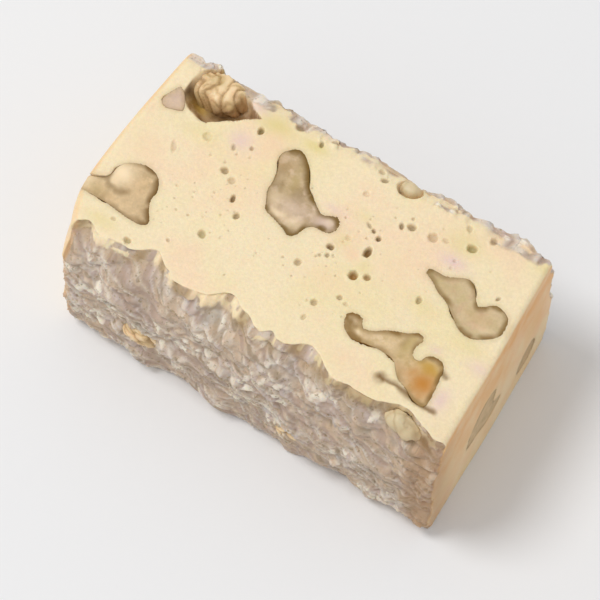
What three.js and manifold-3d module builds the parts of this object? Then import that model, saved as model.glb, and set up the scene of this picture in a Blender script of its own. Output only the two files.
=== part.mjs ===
// A block of walnut nougat cut from a slab, lying flat.
// The top and the two short ends are clean knife cuts that slice through walnut pieces.
// The two long flanks are rough and crumbly, and bulge out below the top edge.
// Frame: millimetres, +X along the block, +Y to the back, +Z up, origin under the middle of the block.
import * as THREE from "three";
import { mergeVertices } from "three/addons/utils/BufferGeometryUtils.js";
import Module from "manifold-3d";

const wasm = await Module();
wasm.setup();

// ---- Driving dimensions ----

const LENGTH = 48.6;
const WIDTH = 28.5;
const HEIGHT = 20;

// Radii of the block's edges, across each pair of faces.
const END_ROUND = 1.1;
const FLANK_ROUND = 0.6;
const TOP_ROUND = 0.9;
const BOTTOM_ROUND = 0.7;

// Segments of the block's surface, and how many of them go into each rounded edge.
const SEGMENTS = { x: 48, y: 22, z: 18 };
const ROUND_SEGMENTS = 2;

// The flanks lean in from their fullest height up to the top face, and a little towards the bottom.
const FULL_HEIGHT = 9;
const FRONT_LEAN = 2.9;
const BACK_LEAN = 0.1;
const FOOT_LEAN = 0.6;

// Depth of the crumbly relief on the flanks, and how much of it is left at the top edge.
const CRAG = 1.15;
const FLAKE = 0.55;
const EDGE_CRAG = 0.35;

// Bites out of the front top edge: place along the block, reach and depth. They run out a little way down.
const FRONT_BITES = [
  [-22.8, 0.8, 1.2], [-18.4, 2.2, 0.9], [-13.9, 1.5, 2.1], [-8.4, 2.5, 0.6], [-4.0, 1.6, 2.0],
  [-0.9, 0.8, 0.6], [2.1, 0.5, 0.9], [6.6, 1.4, 1.8], [18.6, 1.4, 1.3],
];
const BACK_BITE = 0.6;
const BITE_HEIGHT = 5;

// The top breaks off into a low crumbly shoulder along its back edge.
const SHOULDER = 0.8;
const SHOULDER_WIDTH = 1.7;
const SHOULDER_START = 12;

// The cut faces are almost flat. The left end is bowed and cut back at its front corner, and the
// right end is askew.
const TOP_SWELL = 0.22;
const END_SWELL = 0.3;
const LEFT_BOW = 1.1;
const LEFT_FULLEST = -4;
const LEFT_CORNER = 1.6;
const CORNER_START = -6;
const RIGHT_SKEW = 1.3;

// A sliced walnut piece stands this far off the cut face, and every pocket is this much larger all round.
const PROUD = 0.06;
const GAP = 0.3;

// Length of the straight steps that a sliced piece's outline is divided into.
const SECTION_STEP = 0.65;

// A whole piece's radius goes from this share of its half-axes up by this much, in lumps.
const KERNEL_LEAST = 0.8;
const KERNEL_WRINKLE = 0.35;

// The middle of an air bubble lies under the top by this share of its radius.
const BUBBLE_SINK = 0.15;

// Detail finer than this is left out of the surfaces that the cuts leave.
const FINEST = 0.02;

// Colours and gloss.
const NOUGAT = { color: 0xf2dcb2, roughness: 0.55 };
const WALNUT = { color: 0xb9a583, roughness: 0.6 };
const WALNUT_SKIN = { color: 0xb08c5c, roughness: 0.5 };

// ---- Surface relief ----

const mix = (a, b, t) => a + (b - a) * t;
const ease = (t) => t * t * (3 - 2 * t);
const clamp = THREE.MathUtils.clamp;

// A fixed number from 0 to 1 for each corner of an endless grid.
function scatter(i, j, layer) {
  const s = Math.sin(i * 127.1 + j * 311.7 + layer * 74.7) * 43758.5453;
  return s - Math.floor(s);
}

// Smooth noise from 0 to 1, one lump to each unit of a and b.
function lumps(a, b, layer) {
  const i = Math.floor(a);
  const j = Math.floor(b);
  const s = ease(a - i);
  const t = ease(b - j);
  const near = mix(scatter(i, j, layer), scatter(i + 1, j, layer), s);
  const far = mix(scatter(i, j + 1, layer), scatter(i + 1, j + 1, layer), s);
  return mix(near, far, t);
}

// Sharp creases between rounded swellings, from 0 in a crease to 1.
const creases = (a, b, layer) => Math.abs(2 * lumps(a, b, layer) - 1);

function frontBite(x) {
  const depthAt = ([at, reach, depth]) => depth * Math.exp(-(((x - at) / reach) ** 2) / 2);
  return FRONT_BITES.reduce((sum, bite) => sum + depthAt(bite), 0);
}

// How far a flank lies inside the full width, at a place along it and a height.
function flankInset(x, z, side) {
  const layer = side < 0 ? 1 : 5;
  const lean = side < 0 ? FRONT_LEAN : BACK_LEAN;
  const up = Math.max(0, z - FULL_HEIGHT) / (HEIGHT - FULL_HEIGHT);
  const down = Math.max(0, FULL_HEIGHT - z) / FULL_HEIGHT;
  const nearTop = clamp(1 + (z - HEIGHT) / BITE_HEIGHT, 0, 1) ** 2;
  const crag = CRAG * lumps(x / 3.4, z / 2.6, layer) * mix(1, EDGE_CRAG, nearTop);
  const flake = FLAKE * (1 - creases(x / 2.1, z / 1.2, layer + 1));
  const bite = side < 0 ? frontBite(x) : BACK_BITE * lumps(x / 2.3, 0.5, layer + 2) ** 2;
  return lean * up * up + FOOT_LEAN * down ** 3 + crag + flake + bite * nearTop;
}

// How far an end lies inside the full length.
function endInset(y, z, side) {
  const swell = END_SWELL * lumps(y / 9, z / 8, side < 0 ? 11 : 12);
  if (side > 0) return swell + RIGHT_SKEW * (y / WIDTH + 0.5);
  const corner = clamp((CORNER_START - y) / (WIDTH / 2 + CORNER_START), 0, 1);
  const bow = ((y - LEFT_FULLEST) / (WIDTH / 2 - LEFT_FULLEST)) ** 2;
  return swell + LEFT_BOW * bow + LEFT_CORNER * corner ** 2;
}

// How far the top lies under the full height.
function topInset(x, y) {
  const start = SHOULDER_START - lumps(x / 2.4, 0.5, 23);
  const shoulder = SHOULDER * clamp((y - start) / SHOULDER_WIDTH, 0, 1) ** 2;
  return shoulder + TOP_SWELL * (0.7 * lumps(x / 8, y / 6, 21) + 0.3 * lumps(x / 3, y / 3, 22));
}

// ---- The block ----

// Distance from the middle of the block for a grid line, with narrow rows in the rounded edge.
function spread(t, segments, half, round) {
  const fromEdge = ((1 - Math.abs(t)) * segments) / 2;
  const rounded = (round * fromEdge) / ROUND_SEGMENTS;
  const flat = round + ((fromEdge - ROUND_SEGMENTS) * (half - round)) / (segments / 2 - ROUND_SEGMENTS);
  return Math.sign(t) * (half - (fromEdge < ROUND_SEGMENTS ? rounded : flat));
}

// The point of the finished surface for a point of a cube from -1 to 1, moved out by grow.
function surfacePoint(cube, grow) {
  const rise = cube.z < 0 ? BOTTOM_ROUND : TOP_ROUND;
  const radius = new THREE.Vector3(END_ROUND, FLANK_ROUND, rise);
  const half = new THREE.Vector3(LENGTH / 2, WIDTH / 2, HEIGHT / 2);
  const flat = new THREE.Vector3(
    spread(cube.x, SEGMENTS.x, half.x, radius.x),
    spread(cube.y, SEGMENTS.y, half.y, radius.y),
    spread(cube.z, SEGMENTS.z, half.z, radius.z),
  );
  const inner = half.clone().sub(radius);
  const core = flat.clone().clamp(inner.clone().negate(), inner);
  const out = flat.clone().sub(core).divide(radius).normalize();
  const p = core.add(out.clone().multiply(radius));
  p.z += half.z;
  const narrow = 1 - flankInset(p.x, p.z, p.y) / half.y;
  const short = 1 - endInset(p.y, p.z, p.x) / half.x;
  p.x *= short;
  p.y *= narrow;
  if (cube.z > 0) p.z -= topInset(p.x, p.y) * out.z ** 2;
  return p.addScaledVector(out, grow);
}

function blockGeometry(grow = 0) {
  const box = new THREE.BoxGeometry(2, 2, 2, SEGMENTS.x, SEGMENTS.y, SEGMENTS.z);
  const geometry = bare(box);
  const points = geometry.attributes.position;
  for (let i = 0; i < points.count; i++) {
    const cube = new THREE.Vector3().fromBufferAttribute(points, i);
    const p = surfacePoint(cube, grow);
    points.setXYZ(i, p.x, p.y, p.z);
  }
  return geometry;
}

// ---- Solids and booleans ----

// A copy of a geometry that holds only its positions, with shared corners merged.
function bare(geometry) {
  const copy = geometry.clone();
  copy.deleteAttribute("normal");
  copy.deleteAttribute("uv");
  return mergeVertices(copy, 1e-4);
}

function solidOf(geometry) {
  return new wasm.Manifold(
    new wasm.Mesh({
      numProp: 3,
      vertProperties: geometry.attributes.position.array,
      triVerts: new Uint32Array(geometry.index.array),
    }),
  );
}

function geometryOf(solid) {
  const { vertProperties, triVerts } = solid.getMesh();
  const geometry = new THREE.BufferGeometry();
  geometry.setAttribute("position", new THREE.BufferAttribute(vertProperties, 3));
  geometry.setIndex(new THREE.BufferAttribute(triVerts, 1));
  return geometry;
}

// The largest body of a solid, without scraps and slivers that a cut may leave.
function mainBody(solid) {
  return solid.simplify(FINEST).decompose().reduce((a, b) => (a.volume() > b.volume() ? a : b));
}

// ---- Walnut pieces ----

// Turns the plane of an outline into each cut face: the outline's third axis points out of the block.
const FACES = {
  top: new THREE.Matrix4().makeTranslation(0, 0, HEIGHT),
  right: new THREE.Matrix4().makeBasis(
    new THREE.Vector3(0, 1, 0), new THREE.Vector3(0, 0, 1), new THREE.Vector3(1, 0, 0),
  ).setPosition(LENGTH / 2, 0, 0),
  left: new THREE.Matrix4().makeBasis(
    new THREE.Vector3(0, -1, 0), new THREE.Vector3(0, 0, 1), new THREE.Vector3(-1, 0, 0),
  ).setPosition(-LENGTH / 2, 0, 0),
};

// Pieces sliced by the knife: where each lies, how deep it goes, and its outline on the cut face.
const SECTIONS = [
  {
    name: "walnut_back_left_chip", face: "top", depth: 2,
    outline: [
      [-22.3, 7.6], [-22.3, 6.7], [-21.6, 6.3], [-20.6, 6.6], [-19.7, 7.0], [-20.1, 8.0], [-20.8, 8.9],
      [-21.5, 9.3],
    ],
  },
  {
    name: "walnut_front_left", face: "top", depth: 3.5,
    outline: [
      [-25.4, -4.9], [-23.0, -4.3], [-22.1, -3.6], [-22.0, -2.4], [-21.4, -1.4], [-20.4, -0.8],
      [-19.3, -0.5], [-18.0, -0.7], [-17.1, -1.5], [-16.7, -2.6], [-16.7, -3.8], [-16.2, -4.8],
      [-15.4, -6.0], [-16.0, -6.7], [-17.8, -6.8], [-20.4, -6.5], [-22.4, -6.5], [-25.4, -6.4],
    ],
  },
  {
    name: "walnut_centre", face: "top", depth: 4,
    outline: [
      [-8.2, 8.0], [-7.8, 9.0], [-6.8, 9.7], [-5.8, 9.5], [-4.8, 8.6], [-4.0, 7.4], [-3.2, 6.3],
      [-1.8, 5.3], [-0.7, 4.6], [0.2, 5.0], [1.0, 5.2], [1.6, 4.5], [1.4, 3.5], [0.7, 3.0], [-0.7, 2.9],
      [-1.3, 2.3], [-1.6, 1.2], [-2.3, 0.5], [-3.2, 0.9], [-4.6, 1.4], [-6.0, 1.8], [-6.5, 2.8],
      [-7.1, 3.9], [-7.2, 5.4], [-7.5, 6.5],
    ],
  },
  {
    name: "walnut_right", face: "top", depth: 3.5,
    outline: [
      [12.0, 5.4], [12.9, 5.5], [14.0, 5.5], [15.0, 6.0], [16.0, 6.5], [16.9, 6.4], [17.7, 5.6],
      [18.5, 4.5], [19.2, 4.7], [20.1, 5.5], [21.1, 5.4], [22.1, 4.9], [22.5, 3.5], [22.1, 2.2],
      [20.8, 1.3], [19.6, 0.8], [18.2, 1.1], [17.0, 2.0], [15.8, 2.9], [14.2, 3.6], [13.0, 4.4],
      [12.1, 4.7],
    ],
  },
  {
    name: "walnut_hook", face: "top", depth: 2.5,
    outline: [
      [7.6, -3.6], [8.3, -3.1], [9.4, -3.2], [9.7, -4.1], [10.9, -3.8], [12.4, -2.8], [14.0, -2.2],
      [15.1, -1.4], [16.0, -1.8], [15.7, -3.0], [15.9, -4.0], [16.8, -4.2], [17.2, -3.2], [18.4, -2.8],
      [19.3, -3.3], [19.7, -5.0], [20.0, -8.1], [18.6, -8.3], [17.4, -7.6], [15.8, -7.0], [14.5, -5.6],
      [13.0, -5.3], [11.0, -5.5], [9.5, -5.8], [8.1, -5.0],
    ],
  },
  {
    name: "walnut_end_right", face: "right", depth: 3,
    outline: [
      [-5.6, 7.6], [-4.6, 10.4], [-1.9, 12.3], [0.8, 11.4], [0.4, 8.8], [2.2, 6.9], [-0.6, 5.6],
      [-3.2, 6.9],
    ],
  },
  {
    name: "walnut_end_right_low", face: "right", depth: 2.5,
    outline: [[6.0, 4.0], [6.8, 6.6], [9.3, 7.2], [10.2, 5.0], [8.6, 3.4]],
  },
  {
    name: "walnut_end_left", face: "left", depth: 3,
    outline: [
      [-1.8, 8.4], [-2.4, 11.5], [0.4, 13.0], [2.6, 11.2], [5.2, 11.7], [6.0, 9.2], [3.2, 7.4],
      [0.4, 6.6],
    ],
  },
  {
    name: "walnut_end_left_low", face: "left", depth: 2.5,
    outline: [[-7.6, 4.4], [-7.9, 7.0], [-5.4, 8.1], [-3.9, 5.9], [-5.2, 3.7]],
  },
];

// Pieces left whole, in the rough flanks and their top edges: middle, half-axes and turn about
// the vertical.
const KERNELS = [
  { name: "walnut_back_left", at: [-17.7, 10.95, 17.65], half: [3.4, 2.2, 2.25], turn: 0.1 },
  { name: "walnut_back_edge", at: [5.5, 12.3, 18.9], half: [1.6, 1.0, 1.0], turn: 0.1 },
  { name: "walnut_front_rim", at: [19.0, -10.5, 18.3], half: [2.6, 1.3, 1.4], turn: -0.12 },
  { name: "walnut_front_low_left", at: [-11.8, -11.8, 7.6], half: [3.3, 2.0, 2.3], turn: 0.2 },
  { name: "walnut_front_low_right", at: [5.8, -11.9, 5.4], half: [2.8, 1.9, 2.1], turn: -0.3 },
  { name: "walnut_back_high", at: [-4.7, 11.9, 12.4], half: [3.2, 1.9, 2.2], turn: 0.15 },
  { name: "walnut_back_low", at: [12.4, 12.1, 6.8], half: [3.5, 2.0, 2.4], turn: -0.2 },
];

// Hollows that the knife opened over whole pieces near the top: middle, half-axes and turn. They
// are open upwards.
const HOLLOWS = [
  { at: [-17.0, 11.0, 18.0], half: [4.8, 3.6, 2.0], turn: 0.38 },
  { at: [5.5, 12.2, 19.4], half: [1.8, 1.3, 0.8], turn: 0.1 },
];
const HOLLOW_RISE = 3;

// Air bubbles opened by the knife in the top: place and radius.
const BUBBLES = [
  [-12.1, 3.4, 0.45], [-9.6, 1.1, 0.4], [-8.3, -0.4, 0.4], [-10.1, -4.1, 0.45], [5.8, 0.4, 0.5],
  [7.2, 1.0, 0.4], [5.7, 3.5, 0.45], [8.1, 8.4, 0.5], [10.6, 8.6, 0.5], [-11.4, 9.4, 0.4],
  [14.7, 9.7, 0.5], [4.0, -4.4, 0.4],
];

// Corners of a smooth closed outline, each moved outwards by margin.
function outlineShape(outline, margin) {
  const knots = outline.map(([x, y]) => new THREE.Vector3(x, y, 0));
  const curve = new THREE.CatmullRomCurve3(knots, true, "catmullrom", 0.5);
  const turn = Math.sign(THREE.ShapeUtils.area(knots));
  const steps = Math.round(curve.getLength() / SECTION_STEP);
  const corners = [];
  for (let i = 0; i < steps; i++) {
    const p = curve.getPointAt(i / steps);
    const ahead = curve.getTangentAt(i / steps);
    corners.push(new THREE.Vector2(p.x + ahead.y * turn * margin, p.y - ahead.x * turn * margin));
  }
  return new THREE.Shape(corners);
}

// A straight-sided plug under an outline, reaching out past the face.
function plug(section, margin) {
  const depth = section.depth + margin;
  const prism = new THREE.ExtrudeGeometry(outlineShape(section.outline, margin), {
    depth: depth + PROUD + 1,
    bevelEnabled: false,
    curveSegments: 1,
  });
  prism.translate(0, 0, -depth);
  prism.applyMatrix4(FACES[section.face]);
  return solidOf(bare(prism));
}

// A lumpy kernel, its skin moved outwards by margin and its upper half lifted by rise.
function kernel({ at, half, turn }, margin, rise = 0) {
  const geometry = bare(new THREE.IcosahedronGeometry(1, 2));
  const points = geometry.attributes.position;
  for (let i = 0; i < points.count; i++) {
    const out = new THREE.Vector3().fromBufferAttribute(points, i);
    const wrinkle = lumps(2.2 * out.x + 0.7 * out.y + at[0], 2.2 * out.z, 31);
    const p = out.clone().multiply(new THREE.Vector3(...half));
    p.multiplyScalar(KERNEL_LEAST + KERNEL_WRINKLE * wrinkle);
    p.addScaledVector(out, margin);
    points.setXYZ(i, p.x, p.y, p.z + (out.z > 0 ? rise : 0));
  }
  geometry.rotateZ(turn);
  geometry.translate(...at);
  return solidOf(geometry);
}

function bubble([x, y, radius]) {
  const geometry = bare(new THREE.SphereGeometry(radius, 8, 6));
  geometry.translate(x, y, HEIGHT - topInset(x, y) - BUBBLE_SINK * radius);
  return solidOf(geometry);
}

// ---- The finished group ----

function namedMesh(name, solid, { color, roughness }) {
  const mesh = new THREE.Mesh(
    geometryOf(solid),
    new THREE.MeshStandardMaterial({ color, roughness, metalness: 0 }),
  );
  mesh.name = name;
  return mesh;
}

const uncut = solidOf(blockGeometry());
const skin = solidOf(blockGeometry(PROUD));
const group = new THREE.Group();

let nougat = uncut;
for (const section of SECTIONS) {
  const piece = mainBody(plug(section, 0).intersect(skin));
  group.add(namedMesh(section.name, piece, WALNUT));
  nougat = nougat.subtract(plug(section, GAP));
}
for (const piece of KERNELS) {
  group.add(namedMesh(piece.name, kernel(piece, 0), WALNUT_SKIN));
  nougat = nougat.subtract(kernel(piece, GAP));
}
for (const hollow of HOLLOWS) nougat = nougat.subtract(kernel(hollow, 0, HOLLOW_RISE));
for (const hole of BUBBLES) nougat = nougat.subtract(bubble(hole));
nougat = mainBody(nougat);
group.add(namedMesh("nougat", nougat, NOUGAT));

// The relief is uneven, so the block is moved until its middle is over the origin.
const bounds = new THREE.Box3().setFromObject(group);
const middle = bounds.getCenter(new THREE.Vector3());
group.position.set(-middle.x, -middle.y, -bounds.min.z);

export default group;
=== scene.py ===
"""A block of walnut nougat: soft cream nougat with rough flanks, and sliced and whole walnut pieces."""

import math

import bmesh
import bpy
import numpy as np
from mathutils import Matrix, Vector
from mathutils.bvhtree import BVHTree


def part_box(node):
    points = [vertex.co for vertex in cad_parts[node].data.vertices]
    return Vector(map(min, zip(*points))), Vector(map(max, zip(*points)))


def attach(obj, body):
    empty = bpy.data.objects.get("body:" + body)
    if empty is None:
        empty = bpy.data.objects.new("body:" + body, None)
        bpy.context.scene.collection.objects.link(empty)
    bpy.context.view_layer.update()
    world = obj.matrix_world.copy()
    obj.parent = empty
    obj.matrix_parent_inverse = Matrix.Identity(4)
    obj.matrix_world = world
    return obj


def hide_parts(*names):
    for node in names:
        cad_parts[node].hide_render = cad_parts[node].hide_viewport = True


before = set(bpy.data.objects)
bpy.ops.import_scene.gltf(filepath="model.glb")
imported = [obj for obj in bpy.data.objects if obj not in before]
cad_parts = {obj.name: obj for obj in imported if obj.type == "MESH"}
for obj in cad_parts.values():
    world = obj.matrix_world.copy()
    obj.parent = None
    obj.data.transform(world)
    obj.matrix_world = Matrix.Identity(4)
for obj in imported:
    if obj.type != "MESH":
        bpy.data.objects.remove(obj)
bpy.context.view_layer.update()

MM = 0.001

# ---- The block's driving dimensions, in millimetres ----

# They are the solid's own, but the ends' edges are a little sharper.
LENGTH, WIDTH, HEIGHT = 48.6, 28.5, 20.0
HALF = np.array([LENGTH, WIDTH, HEIGHT]) / 2
END_ROUND, FLANK_ROUND, TOP_ROUND, BOTTOM_ROUND = 0.75, 0.6, 0.9, 0.7
FULL_HEIGHT = 9.0  # where the flanks are at their widest
FRONT_LEAN, BACK_LEAN, FOOT_LEAN = 2.9, 0.1, 0.6
CRAG, FLAKE = 1.15, 0.55  # depth of the coarse relief
EDGE_CRAG = 0.35  # the crags' share at the top edge

# Bites out of the front top edge: place along the block, reach and depth.
FRONT_BITES = [
    (-22.8, 0.8, 1.2), (-18.4, 2.2, 0.9), (-13.9, 1.5, 2.1), (-8.4, 2.5, 0.6), (-4, 1.6, 2),
    (-0.9, 0.8, 0.6), (2.1, 0.5, 0.9), (6.6, 1.4, 1.8), (18.6, 1.4, 1.3),
]
BACK_BITE, BITE_HEIGHT = 0.6, 5.0
SHOULDER, SHOULDER_WIDTH, SHOULDER_START = 0.8, 1.7, 12.0
TOP_SWELL, END_SWELL = 0.22, 0.3
LEFT_BOW, LEFT_FULLEST = 1.1, -4.0
LEFT_CORNER, CORNER_START = 1.6, -6.0
RIGHT_SKEW = 1.3
FRONT, BACK = 1, 5  # relief layers of the two flanks
SOLID_STEPS, SOLID_ROWS = (44, 18, 14), 2  # how the solid divides its flat parts and rounded edges

# Hollows over whole pieces near the top: place, half-length, half-width, turn in radians, depth, and
# straight sides by the direction that each faces, in degrees, and how far out it lies.
HOLLOWS = [
    (-16.9, 11, 4.9, 3.9, 0.38, 2.3, [(-52, 3.15), (62, 1.9), (180, 4.2)]),
    (5.5, 12.2, 1.7, 1.2, 0.1, 0.9, []),
]

# ---- The finer surface that only the dressed block has ----

SPACING = (0.38, 0.5, 0.38)  # between the grid's lines, along each axis
ROUND_ROWS = 4  # of the grid in each rounded edge
FINE_REACH = (0.42, 0.16)  # how near an edge of a pocket or pit the grid is halved, and halved again
FAR = 9.0  # stands for a distance too large to matter
TINY = 1e-6

# Pockets of the walnut pieces. Where the gap is under 0, the nougat overlaps the piece's rim.
POCKET_DEPTH, POCKET_WALL, POCKET_GAP = 0.9, 0.12, (-0.15, 0.05)
NUT_REACH = 1.2  # a piece matters to the nougat up to this distance
WALL_DEPTH = 0.9  # a sliced piece is measured this far in, where its walls are straight
CUT_REACH = 0.3  # and opens a pocket only where it comes this near to the surface

HOLLOW_REACH = 3.2  # the hollows shape the block down to this depth
FLOOR_RELIEF = 0.04  # share of the height that is left over a hollow's floor
LEDGE, GRAIN = 0.34, 0.24  # height of the torn ledges and of the crumbs on the flanks
SLANT = 0.45  # slope of the ledges
WRAP = 0.6  # share of the way outwards that counts as height in the crumbs' pattern
NIBBLE = 0.35  # reach of the nibbled front top edge
SEED = 7

# Where things fade in on the block, from the first place to the second.
EDGE_RISE, TONGUE_RISE, EDGE_BROWN_RISE = (17.2, 19.4), (18, 19.3), (17.6, 19.2)
SKIN_RISE, FOOT_RISE, AMBER_RISE = (17, 18.5), (0.1, 1.2), (4, 18)
BROWN_CORNER_ALONG, BROWN_CORNER_FALL, BROWN_CORNER_Y, BROWN_CORNER_WIDTH = (20, 22.3), (19.9, 18), -12.5, 3.6
KERNEL_SHADE_FALL = (18.4, 17.2)

# Air bubbles opened by the knife in the top: place, half-length, half-width and how dark the painted shade
# inside it is, and for some the turn in degrees, and how warm that shade is (orange above 0, olive below).
BUBBLES = [
    (-12.1, 3.4, 0.48, 0.42, 0.62), (-10.8, 2.8, 0.45, 0.4, 0.3, 0, 0.1), (-9.6, 1.1, 0.3, 0.48, 0.9, 10),
    (-8.2, -0.4, 0.38, 0.45, 0.65, 0, -0.1), (-11.1, 7.1, 0.25, 0.32, 0.5, 20),
    (-12.8, 6.2, 0.24, 0.42, 0.45, 30, 0.2), (-11.4, 9.4, 0.38, 0.45, 0.85, 0, -0.4),
    (-15.8, 5.8, 0.55, 0.45, 0.15, 0, -0.2), (-18.2, 2.9, 0.3, 0.8, 0.22, 25),
    (-10.1, -4.1, 0.5, 0.45, 0.55, 0, -0.7), (-16.3, -8.9, 0.5, 0.36, 0.6, 0, -0.6),
    (-12.7, -6.6, 0.25, 0.22, 0.35), (-18.9, -7.6, 0.3, 0.25, 0.25, 0, 0.2), (0.1, -1.4, 0.4, 0.42, 0.5),
    (4, -4.4, 0.42, 0.38, 0.5), (4, -6.4, 0.28, 0.35, 0.3), (6, -2.5, 0.33, 0.3, 0.5),
    (6.9, -2.8, 0.3, 0.24, 0.25), (2.1, 1.9, 0.44, 0.38, 0.95), (2.3, 0.9, 0.26, 0.3, 0.55),
    (1.6, 0.5, 0.24, 0.22, 0.45), (5.7, 3.5, 0.42, 0.7, 1, 0, 0.3), (5.8, 0.4, 0.56, 0.52, 0.9, 0, 1),
    (7.2, 1, 0.42, 0.38, 0.75, 0, 0.8), (4.9, 5.9, 0.32, 0.22, 0.85, -35), (5.8, 5.4, 0.34, 0.3, 0.95),
    (4.2, 6.2, 0.5, 0.2, 0.5, -30, -0.2), (7.1, 7.9, 0.27, 0.45, 0.75, 25),
    (8.1, 8.4, 0.54, 0.42, 0.7, 10, -0.1), (7.7, 9.3, 0.22, 0.24, 0.4), (10.6, 8.6, 0.58, 0.55, 0.35),
    (14.7, 9.7, 0.58, 0.48, 0.65, 0, -0.7), (11.9, 9, 0.4, 0.3, 0.2, 0, -0.3),
    (13.1, 1.7, 0.32, 0.5, 0.55, 15, -0.2), (3.1, 3.8, 0.36, 0.36, 0.1, 0, -0.5),
    (2, 9.1, 0.4, 0.34, 0.15), (13.9, 7.5, 0.24, 0.2, 0.2, 0, 0.3), (14, 6.6, 0.24, 0.2, 0.15, 0, 0.2),
    (20, 6.2, 0.36, 0.2, 0.6, 60), (-8.1, 12, 0.5, 0.42, 0.6, 0, 0.1),
    (-5.1, 11.5, 0.26, 0.4, 0.75, 25, -0.4), (-4, 12.5, 0.5, 0.24, 0.45, 20, 0.2),
    (2.8, 11.5, 0.52, 0.32, 0.65, 25), (2, 12.3, 0.42, 0.36, 0.35, -45),
    (16.2, 11.7, 0.36, 0.55, 0.5, 0, -0.3), (10.8, 12.7, 1, 0.26, 0.2), (9.4, 12, 0.24, 0.2, 0.1),
    (13.3, 11.5, 0.32, 0.46, 0.35, 30, -0.2),
]

# Small bubbles in clusters between them: place and reach of each cluster, their size, how dark the
# painted shade inside them is, and the part of the top that they keep to.
TINY_BUBBLES = 110
TINY_CLUSTERS = [(-11.4, 1.5, 3.5, 3.0), (3.1, 0.5, 3.0, 3.0), (-3.4, -3.0, 9.0, 3.0), (6.6, 7.0, 9.0, 3.5)]
TINY_SIZE, TINY_DARK = (0.07, 0.19), (0.1, 0.38)
TINY_ENDS, TINY_FRONT, TINY_BACK = 22, -8.5, 11

# Soft stains of the top, by colour: place, half-length, half-width and strength.
STAINS = {
    "lemon": [
        (-10.2, 10.8, 2.2, 1.1, 0.9), (-5.6, 10.9, 1.6, 0.6, 0.9), (13.8, 9.8, 2.2, 1.6, 0.5),
        (22.6, 11.8, 1.2, 0.8, 0.5), (3.2, 6.8, 1.4, 0.8, 0.3), (-16.9, 5.6, 2.5, 1, 0.35),
        (-19.9, -8.4, 2, 0.8, 0.5), (13.6, 1.4, 2.2, 1, 0.4), (2.8, 3.2, 1, 1, 0.4),
        (6.2, 1.8, 0.9, 0.9, 0.4), (20.1, 0, 2, 0.8, 0.35), (-18.6, 8.2, 0.9, 0.7, 1),
    ],
    "pink": [
        (-12.6, 7.3, 1.4, 1.1, 0.8), (13.8, 7.3, 1.6, 0.8, 0.9), (20.9, -6.8, 0.9, 1.4, 0.8),
        (22.4, -1.6, 1.2, 0.8, 0.6), (0.1, 5.8, 1.2, 0.5, 0.5), (-13.2, 11.6, 1.4, 0.9, 0.7),
        (-4.6, 13, 1, 0.5, 0.6), (17.6, -2.2, 0.8, 0.5, 0.5),
    ],
    "peach": [
        (4.5, 2.4, 0.8, 0.7, 0.9), (-9.2, 8.5, 1.5, 1.8, 0.6), (-9.4, 3.5, 3, 2.5, 0.3),
        (9.6, 3.5, 3, 2.5, 0.4), (3.6, -1.5, 3, 1.4, 0.35), (10.6, -8, 3.5, 1.4, 0.3),
        (-20.9, 1, 1.8, 2.5, 0.35),
    ],
}

STAIN_COLOURS = {"lemon": (228, 210, 142), "pink": (234, 204, 194), "peach": (246, 210, 172)}

# In the hollows over the whole pieces: cream areas, olive skin left by the pieces, and dark and purplish
# painted shade.
HOLLOW_STAINS = {
    "hollow_cream": [
        (-21.3, 11.9, 1.3, 1.3, 1), (-20.8, 13.6, 2.5, 0.8, 0.9), (-14.4, 12.2, 1.2, 0.7, 0.9),
        (5.5, 12.2, 2.2, 1.6, 0.8),
    ],
    "hollow_painted_shade": [(-20.5, 9.4, 0.7, 0.9, 1), (-15.9, 9.3, 1.3, 0.7, 1), (-17.4, 9.3, 1.2, 0.7, 0.8)],
    "hollow_olive": [(-18.9, 9, 0.9, 0.7, 1)],
    "hollow_plum_shade": [(-13.2, 10.8, 1, 0.8, 0.8), (-17.4, 8, 1.8, 0.5, 0.5)],
}
HOLLOW_COLOURS = {
    "hollow_cream": (240, 214, 172), "hollow_painted_shade": (96, 66, 24), "hollow_olive": (196, 160, 78),
    "hollow_plum_shade": (164, 128, 96),
}

# Dark lines of skin across the top, each with its half-width and strength.
SKIN_LINES = [
    ([(14.2, -7.8), (15.8, -7.8), (17.8, -8), (19.4, -8.3), (21, -8.2)], 0.42, 0.9),
    ([(14.2, -7.8), (14.7, -7.9)], 0.6, 1),
    ([(20.6, -8.3), (21.1, -8.2)], 0.42, 0.8),
    ([(20.1, -10.8), (21.4, -11.2), (22.4, -11.8)], 0.4, 0.8),
    ([(19.4, -3.9), (20.1, -4.1)], 0.4, 0.75),
]


# ---- Relief, as in the solid ----


def ease(t):
    return t * t * (3 - 2 * t)


def step(low, high, value):
    """0 below low, 1 above high, and a smooth rise between them."""
    return ease(np.clip((value - low) / (high - low), 0, 1))


def scatter(i, j, layer):
    """A fixed number from 0 to 1 for each corner of an endless grid."""
    s = np.sin(i * 127.1 + j * 311.7 + layer * 74.7) * 43758.5453
    return s - np.floor(s)


def lumps(a, b, layer):
    """Smooth noise from 0 to 1, one lump to each unit, and another pattern for each layer."""
    i, j = np.floor(a), np.floor(b)
    s, t = ease(a - i), ease(b - j)
    near = scatter(i, j, layer) * (1 - s) + scatter(i + 1, j, layer) * s
    far = scatter(i, j + 1, layer) * (1 - s) + scatter(i + 1, j + 1, layer) * s
    return near * (1 - t) + far * t


def creases(a, b, layer):
    """Sharp creases between rounded swellings, from 0 in a crease to 1."""
    return np.abs(2 * lumps(a, b, layer) - 1)


def front_bite(x):
    return sum(depth * np.exp(-(((x - at) / reach) ** 2) / 2) for at, reach, depth in FRONT_BITES)


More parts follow.
